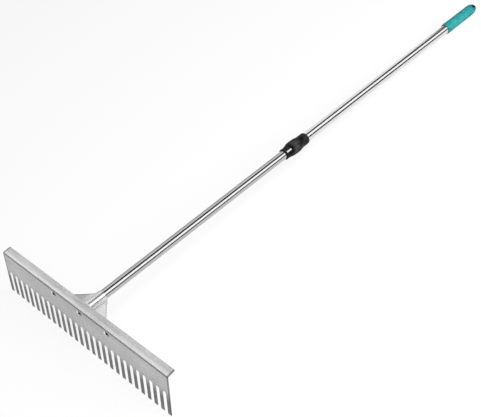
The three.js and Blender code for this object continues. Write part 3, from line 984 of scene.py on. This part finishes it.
def buildTube(name, node, body, radius, finish):
    start, end = poleReach(node)
    bore = radius - tube["wall"]
    places = [start, start + tube["hold"], end - tube["hold"], end]
    corners = [(radius, place) for place in places] + [(bore, place) for place in reversed(places)]
    profile = softened(corners, tube["endRound"], tube["roundSteps"])
    bm = turned(profile, tube["steps"], closed=True)
    piece = finished(tidied(bm), name, poleFrame, finish)
    mounted(piece, body, node)      # hides the CAD node that the tube replaces


lowerFinish = drawnTube("polishedTube", *tube["lower"])
buildTube("lowerTube", "lower_tube", "head", tube["lowerRadius"], lowerFinish)
upperFinish = drawnTube("anodisedTube", *tube["upper"])
buildTube("upperTube", "upper_tube", "upper_pole", tube["upperRadius"], upperFinish)


# Twist lock: the nut is a fluted sleeve with windows, on the spigot of the lock body

plastic = {                  # moulded, with a spark texture
    "spark": (1400, 2, 0.7),
    "clouds": (60, 3),
    "places": (0.4, 0.62),
    "range": (0.3, 7),
    "crestHighlightShares": (0.4, 0.6),
    "crestHighlightPlaces": (0.38, 0.62),
    "crestHighlightRange": (0.6, 18),
    "crestHighlightFade": (0.0186, 0.0204),     # painted highlight on the crests of the nut's ribs
    "roughSpark": 0.16,
    "roughClouds": 0.06,
    "bump": (0.35, 0.0002),
    "black": (0.0025, 0.3, 0.11),    # and shine
    "grey": (0.09, 0.45, 0.4),
}


def mouldedPlastic(name, level, roughness, shine):
    graph = material(name)
    spark = graph.noise(*plastic["spark"])
    clouds = graph.noise(*plastic["clouds"])
    colour = graph.shaded(clouds, plastic["places"], plastic["range"], level)
    # painted highlight on the rib crests, far from the pole
    tone = weighed((spark, clouds), plastic["crestHighlightShares"])
    crestHighlight = graph.shaded(tone, plastic["crestHighlightPlaces"], plastic["crestHighlightRange"], level)
    crests = graph.around(poleFrame.translation, poleAxis, *plastic["crestHighlightFade"])
    return graph.principled(
        Base_Color=graph.mixed(crests, colour, crestHighlight),
        Roughness=roughness + spark * plastic["roughSpark"] + clouds * plastic["roughClouds"],
        Specular_IOR_Level=shine, Normal=graph.bump(spark, *plastic["bump"]))


nut = {
    "columns": 48,
    "turn": rad(45),         # of a window, from the top of the pole towards +X
    "throat": 13,
    "bore": 15.9,
    "coneStart": 28.3,
    "coneEnd": 41.3,
    "windowRows": (4.8, 10.5, 16, 21.5, 27.4),
    "windowSpan": (-3, 1),   # columns on either side of the middle
    "windowEvery": 12,       # columns from one window to the next
    "plainRows": (63, 67),
    "fluteRows": (31, 35, 40, 45, 50, 55),
    "fluteEvery": 6,
    "fluteFloor": 18.9,      # radius at the bottom of the flutes
    "fluteShares": {0: 1, 1: 0.5, 5: 0.5},
    "knots": ((0, 16), (14, 16.6), (31, 20.1), (52, 20.1), (65, 17.2), (70.5, 16.9)),
    "length": 70.5,
    "rimRound": 0.7,
    "creaseGap": 0.5,        # spacing of the rows that hold an inner corner
}


def columnOf(vert):          # how many columns a vertex is from the first window
    angle = math.atan2(vert.co.x, vert.co.z)
    return round(angle / (2 * math.pi) * nut["columns"]) % nut["columns"]


def nutProfile(start):
    length = nut["length"]
    rim = nut["rimRound"]
    hold = nut["creaseGap"]
    cone = nut["coneStart"]
    rows = [rim, *nut["windowRows"], *nut["fluteRows"], *nut["plainRows"], length - rim]
    outer = [(onCurve(nut["knots"], row), row) for row in rows]
    inner = [
        (nut["bore"], length), (nut["bore"], length - hold),
        (nut["bore"], nut["coneEnd"] + hold), (nut["bore"], nut["coneEnd"]),
        (nut["throat"] + rim, cone), (nut["throat"], cone), (nut["throat"], cone - hold),
        *[(nut["throat"], row) for row in reversed(nut["windowRows"])],
        (nut["throat"], rim), (nut["throat"], rim / 3)]
    mouth = onCurve(nut["knots"], 0) - rim
    tail = onCurve(nut["knots"], length) - rim / 2
    profile = [(mouth, 0), *outer, (tail, length), *inner]
    return [(radius, start + row) for radius, row in profile]


def inWindow(column, window):        # whether a column lies between a window's sides
    half = nut["columns"] / 2
    first, last = nut["windowSpan"]
    return first <= (column - window + half) % nut["columns"] - half <= last


def cutWindows(bm, start):
    first = start + nut["windowRows"][0]
    last = start + nut["windowRows"][-1]
    windows = range(0, nut["columns"], nut["windowEvery"])
    gone = []
    for face in bm.faces:
        middle = face.calc_center_median()
        column = math.atan2(middle.x, middle.z) / (2 * math.pi) * nut["columns"]
        if first < middle.y < last and any(inWindow(column, window) for window in windows):
            gone.append(face)
    rims = opened(bm, gone)
    for window in windows:
        here = [edge for edge in rims
                if all(inWindow(columnOf(vert), window) for vert in edge.verts)]
        bmesh.ops.bridge_loops(bm, edges=here)


def pressFlutes(bm, start):
    for row in nut["fluteRows"]:
        depth = max(0, onCurve(nut["knots"], row) - nut["fluteFloor"])
        for vert in bm.verts:
            radius = math.hypot(vert.co.x, vert.co.z)
            if abs(vert.co.y - start - row) > near or radius < nut["bore"] + nut["creaseGap"]:
                continue
            share = nut["fluteShares"].get(columnOf(vert) % nut["fluteEvery"], 0)
            vert.co.x *= (radius - depth * share) / radius
            vert.co.z *= (radius - depth * share) / radius


def buildNut(finish):
    start = poleReach("lock_nut")[0]
    bm = turned(nutProfile(start), nut["columns"], closed=True)
    pressFlutes(bm, start)
    cutWindows(bm, start)
    turn = Matrix.Rotation(nut["turn"], 3, "Y")
    bmesh.ops.rotate(bm, verts=bm.verts, cent=(0, 0, 0), matrix=turn)
    piece = finished(tidied(bm), "lockNut", poleFrame, finish, noCreases)
    softBody(piece)
    mounted(piece, "nut", "lock_nut")


lockBody = {
    "spigot": 15.6,
    "cap": 17,
    "capLength": 20,
    "capRound": 9,
    "roundSteps": 12,
    "capLip": 15.4,
    "capEdge": 0.4,
    "pocket": 14.35,
    "pocketEdge": 0.5,
    "throat": 13,
    "shoulder": 11.3,        # from the start of the body to the end of the tube
    "seat": 14.73,
    "seatEnd": 6.3,
    "steps": 96,
}


def buildLockBody(finish):
    start, end = poleReach("lock_body")
    capStart = end - lockBody["capLength"]
    roundStart = end - lockBody["capRound"]
    reach = lockBody["cap"] - lockBody["capLip"]
    dome = []
    for x, y in arc((0, 0), 1, 0, math.pi / 2, lockBody["roundSteps"]):
        dome.append((lockBody["capLip"] + reach * x, roundStart + lockBody["capRound"] * y))
    profile = [
        (lockBody["spigot"], start),
        (lockBody["spigot"], capStart),
        (lockBody["cap"] - lockBody["capEdge"], capStart),
        (lockBody["cap"], capStart + lockBody["capEdge"]),
        *dome,
        (lockBody["pocket"] + lockBody["pocketEdge"], end),
        (lockBody["pocket"], end - lockBody["pocketEdge"]),
        (lockBody["pocket"], start + lockBody["shoulder"]),
        (lockBody["throat"], start + lockBody["shoulder"]),
        (lockBody["throat"], start + lockBody["seatEnd"]),
        (lockBody["seat"], start),
    ]
    bm = turned(profile, lockBody["steps"], closed=True)
    piece = finished(tidied(bm), "lockBody", poleFrame, finish)
    mounted(piece, "upper_pole", "lock_body")


blackFinish = mouldedPlastic("blackPlastic", *plastic["black"])
buildNut(blackFinish)
buildLockBody(blackFinish)


# Grip: a soft sleeve with a round end and a hole to hang it by

grip = {
    "columns": 48,
    "radius": 16.5,
    "mouth": 15.95,
    "bead": 16.95,
    "beadPlace": 8,
    "beadEnd": 28,
    "domeLength": 28,
    "bore": 14.35,
    "closedEnd": 31,         # thickness past the end of the bore
    "creaseGap": 0.8,
    "rows": (3, 8, 14, 21, 28, 40, 55, 70, 85, 100, 115, 130, 140),
    "domeRows": (7.5, 5, 3, 1.5, 0.5),       # from the tip
    "holeInset": 17.5,
    "holeHalf": (4.5, 7),
    "holeColumns": 2,
    "holeRows": (-7, -3.5, 0, 3.5, 7),
    "holeRound": 0.8,
    "roundSteps": 2,
    "holeTurn": rad(32),     # from the top of the pole towards +X
}

rubber = {
    "shades": ((0.006, 0.15, 0.15), (0.01, 0.23, 0.225), (0.02, 0.31, 0.3)),
    "places": (0.36, 0.5, 0.64),
    "pores": (900, 2, 0.7),
    "mottle": (190, 4, 0.7),
    "clouds": (28, 2),
    "shares": (0.7, 0.3),
    "side": (0.003, 0.07, 0.08, 1),      # painted shade, darker than the lit strip along the middle
    "sideShadeFade": (0.01287, 0.0165),
    "lie": rad(41),              # middle of the lit strip, from the top towards +X
    # painted shade inside the hang hole
    "hole": (0.001, 0.05, 0.055, 1),
    "holeShadeFade": (0.007, 0.0084),
    # painted shade round the hang hole, towards the tip
    "tipShadeFade": (0.0084, 0.0182),
    "tipShadeShare": 0.55,
    "rough": 0.5,
    "roughMottle": 0.2,
    "shine": 0.25,
    "bump": (0.35, 0.0005),
}


def gripRubber(middle, across):      # mottled, with pores; painted shade on sides, tip and hang hole
    graph = material("tealRubber")
    pores, mottle, clouds = [graph.noise(*rubber[part]) for part in ("pores", "mottle", "clouds")]
    tone = weighed((mottle, clouds), rubber["shares"])
    colour = graph.ramp(tone, rubber["places"], rubber["shades"])
    lie = rubber["lie"]
    half = poleTurn @ Vector((math.cos(lie), 0, -math.sin(lie)))
    # painted shade on both sides of the lit strip
    side = abs(graph.vectors("DOT_PRODUCT", graph.offset(middle), half, output="Value"))
    side = graph.span(side, *rubber["sideShadeFade"])
    # painted shade round the hang hole, towards the tip
    tip = 1 - graph.around(middle, across, *rubber["tipShadeFade"])
    # painted shade inside the hang hole
    hole = 1 - graph.around(middle, across, *rubber["holeShadeFade"])
    colour = graph.mixed(tip * rubber["tipShadeShare"], colour, rubber["side"])
    colour = graph.mixed(side, colour, rubber["side"])
    return graph.principled(
        Base_Color=graph.mixed(hole, colour, rubber["hole"]),
        Roughness=rubber["rough"] + mottle * rubber["roughMottle"],
        Specular_IOR_Level=rubber["shine"],
        Normal=graph.bump((pores + mottle) * 0.5, *rubber["bump"]))


def gripRadius(fromEnd, length):
    dome = grip["domeLength"]
    if fromEnd < dome:
        return grip["radius"] * math.sqrt(max(0, 1 - ((dome - fromEnd) / dome) ** 2))
    knots = (
        (0, grip["mouth"]), (grip["beadPlace"], grip["bead"]),
        (grip["beadEnd"], grip["radius"]), (length - dome, grip["radius"]))
    return onCurve(knots, length - fromEnd)


def gripProfile(start, end):
    length = end - start
    hold = grip["creaseGap"]
    hole = [length - grip["holeInset"] + row for row in grip["holeRows"]]
    rows = [*grip["rows"], *hole, *[length - row for row in grip["domeRows"]]]
    outer = [(gripRadius(length - row, length), start + row) for row in rows]
    deep = end - grip["closedEnd"]
    inner = [
        (0, deep), (grip["bore"] - hold, deep), (grip["bore"], deep),
        (grip["bore"], deep - hold), (grip["bore"], start + hold),
        (grip["bore"], start + hold / 3)]
    rim = [(grip["mouth"] - hold, start), (grip["mouth"] - hold / 6, start + hold / 2)]
    return [*inner, *rim, *outer, (0, end)]


def cutHangHole(bm, end):    # opens both sides, draws the rims as ovals and joins them
    middle = end - grip["holeInset"]
    reach = grip["holeColumns"] * 2 * math.pi / grip["columns"]
    gone = []
    for face in bm.faces:
        centre = face.calc_center_median()
        turn = math.atan2(centre.x, abs(centre.z))
        inside = grip["holeRows"][0] < centre.y - middle < grip["holeRows"][-1]
        if inside and abs(turn) < reach:
            gone.append(face)
    rims = opened(bm, gone)
    for vert in dict.fromkeys(vert for edge in rims for vert in edge.verts):
        side = 1 if vert.co.z > 0 else -1
        across = math.atan2(vert.co.x, abs(vert.co.z)) / reach
        along = (vert.co.y - middle) / grip["holeHalf"][1]
        turn = math.atan2(along, across)
        vert.co.x = grip["holeHalf"][0] * math.cos(turn)
        vert.co.y = middle + grip["holeHalf"][1] * math.sin(turn)
        radius = gripRadius(end - vert.co.y, 0)
        vert.co.z = side * math.sqrt(radius ** 2 - vert.co.x ** 2)
    bmesh.ops.bridge_loops(bm, edges=rims)
    rounded(bm, rims, grip["holeRound"], grip["roundSteps"])


def buildGrip():
    start, end = poleReach("grip")
    bm = turned(gripProfile(start, end), grip["columns"])
    cutHangHole(bm, end)
    turn = Matrix.Rotation(grip["holeTurn"], 3, "Y")
    bmesh.ops.rotate(bm, verts=bm.verts, cent=(0, 0, 0), matrix=turn)
    middle = poleFrame @ Vector((0, end - grip["holeInset"], 0))
    across = poleTurn @ turn @ Vector((0, 0, 1))
    piece = finished(tidied(bm), "poleGrip", poleFrame, gripRubber(middle, across), noCreases)
    softBody(piece)
    mounted(piece, "upper_pole", "grip")


buildGrip()


# Inner pieces that hardly show keep their CAD shape and get the plastic's finish

greyFinish = mouldedPlastic("greyPlastic", *plastic["grey"])
for node in ("guide_bush", "lock_collet", "tube_plug"):
    for place in frame["nodes"][node].material_slots:
        place.material = greyFinish
    print("inner piece finished:", node)


# Floor, light and camera

studio = {
    "floorSize": 60,
    "floorTones": (0.792, 0.8),
    "floorPaper": (3, 2),
    "floorGlow": 0.84,       # share of the floor that shows as plain white
    "worldLevel": 0.22,
    "softboxLevel": 4.2,
    "softboxDistance": 2.3,
    "softboxWidth": 2.4,
    "softboxLength": 4.6,
    "softboxTurn": rad(41),  # from the top of the pole towards +X
    "softboxPlace": 1000,    # along the pole, in millimetres
}

cards = {                    # panels round the pole that only reflections show
    "radius": 2200,
    "steps": 24,
    "panels": {              # brightness, then rows of (place, first turn, last turn)
        "lowerLeft": (0.02, ((400, -12, 24), (2320, -12, 24))),
        "lowerRight": (0.02, ((400, 66, 108), (2320, 66, 108))),
        "lowerGlow": (1.9, ((400, 24, 66), (2320, 24, 66))),
        "lowerDip": (0.45, ((400, -92, -62), (2320, -92, -62))),
        "upperLeft": (0.02, (
            (2330, -21, 13), (3140, -24, 14), (3460, -28, 17), (3600, -34, 18))),
        "gripLeft": (0.16, ((3600, -34, 18), (3785, -95, 18), (3900, -104, 18), (4900, -104, 18))),
        "upperRight": (0.02, ((2330, 54, 91), (3140, 54, 91), (3460, 56, 91), (4900, 60, 91))),
        "upperGlow": (1.3, (
            (2330, 13, 54), (3140, 14, 54), (3460, 17, 56), (3600, 18, 57), (4900, 18, 60))),
        "gripRight": (0.6, ((3650, 91, 150), (4900, 91, 150))),
    },
    "frontLevel": 0.02,      # the flat panel in front of the blade
    "frontPlace": (0.3, -1.9, 0.62),
    "frontSize": (5, 1.2),
}

view = {
    "place": (1.2539, -1.318, 1.5905),
    "forward": (-0.5545, 0.4551, -0.6967),
    "up": (-0.4068, 0.5821, 0.704),
    "lens": 63.95,
    "sensor": 36,
    "reach": 100,
}


def shownRays(graph):        # 1 for the rays that show the white background
    kinds = ("Is Camera Ray", "Is Glossy Ray", "Is Transmission Ray")
    camera, glossy, transmission = [
        graph.node("ShaderNodeLightPath", output=kind) for kind in kinds]
    return graph.maths("MINIMUM", camera + glossy + transmission, 1)


def buildFloor():
    graph = material("paleFloor")
    paper = graph.noise(*studio["floorPaper"])
    matt = graph.node("ShaderNodeBsdfDiffuse", {}, {
        "Color": graph.ramp(paper, (0, 1), studio["floorTones"])})
    white = graph.glow("ShaderNodeEmission", 1)
    graph.surface(graph.blend(shownRays(graph) * studio["floorGlow"], matt, white))
    bm = bmesh.new()
    bmesh.ops.create_grid(bm, x_segments=1, y_segments=1, size=studio["floorSize"] / 2)
    finished(bm, "floor", Matrix.Identity(4), graph.holder)


def buildWorld():
    world = bpy.data.worlds.new("studio")
    bpy.context.scene.world = world
    graph = Graph(world, "ShaderNodeOutputWorld")
    fill = graph.glow("ShaderNodeBackground", studio["worldLevel"])
    white = graph.glow("ShaderNodeBackground", 1)
    graph.surface(graph.blend(shownRays(graph), fill, white))


def added(data, place, turn):
    thing = bpy.data.objects.new(data.name, data)
    thing.matrix_world = Matrix.Translation(place) @ turn
    bpy.context.scene.collection.objects.link(thing)
    return thing


def hidden(thing, *rays):
    for kind in rays:
        setattr(thing, "visible_" + kind, False)


def buildSoftbox():          # lights the rake and its shadow, and stays out of reflections
    lamp = bpy.data.lights.new("softbox", "AREA")
    lamp.shape = "RECTANGLE"
    lamp.size = studio["softboxWidth"]
    lamp.size_y = studio["softboxLength"]
    area = studio["softboxWidth"] * studio["softboxLength"]
    lamp.energy = studio["softboxLevel"] * area * math.pi    # watts for an even brightness
    turn = studio["softboxTurn"]
    back = poleTurn @ Vector((math.sin(turn), 0, math.cos(turn)))
    place = poleFrame @ Vector((0, studio["softboxPlace"], 0)) + back * studio["softboxDistance"]
    softbox = added(lamp, place, turnTo(poleAxis.cross(back), poleAxis, back))
    hidden(softbox, "camera", "glossy")


def addCard(bm, name, level, place):
    graph = material(name)
    graph.surface(graph.glow("ShaderNodeEmission", level))
    card = finished(bm, name, place, graph.holder)
    hidden(card, "camera", "diffuse", "shadow", "transmission")


def bentPanel(rows):         # a grid laid round the pole, row by row
    bm = bmesh.new()
    bmesh.ops.create_grid(
        bm, x_segments=cards["steps"], y_segments=len(rows) - 1, size=0.5)
    for vert in bm.verts:
        place, start, end = rows[round((vert.co.y + 0.5) * (len(rows) - 1))]
        turn = rad(start + (end - start) * (vert.co.x + 0.5))
        vert.co = (cards["radius"] * math.sin(turn), place, cards["radius"] * math.cos(turn))
    return bm


def buildCards():
    for name, (level, rows) in cards["panels"].items():
        addCard(bentPanel(rows), name, level, poleFrame)
    bm = bmesh.new()
    bmesh.ops.create_grid(bm, x_segments=1, y_segments=1, size=0.5)
    size = Matrix.Diagonal((*cards["frontSize"], 1, 1))
    upright = Matrix.Rotation(math.pi / 2, 4, "X")
    place = Matrix.Translation(cards["frontPlace"])
    addCard(bm, "frontCard", cards["frontLevel"], place @ upright @ size)


def buildCamera():
    data = bpy.data.cameras.new("camera")
    data.lens = view["lens"]
    data.sensor_width = view["sensor"]
    data.clip_end = view["reach"]
    back = -Vector(view["forward"]).normalized()
    right = Vector(view["up"]).cross(back).normalized()
    turn = turnTo(right, back.cross(right), back)
    bpy.context.scene.camera = added(data, view["place"], turn)


buildFloor()
buildWorld()
buildSoftbox()
buildCards()
buildCamera()
bpy.context.scene.view_settings.view_transform = "Standard"
print("studio ready")
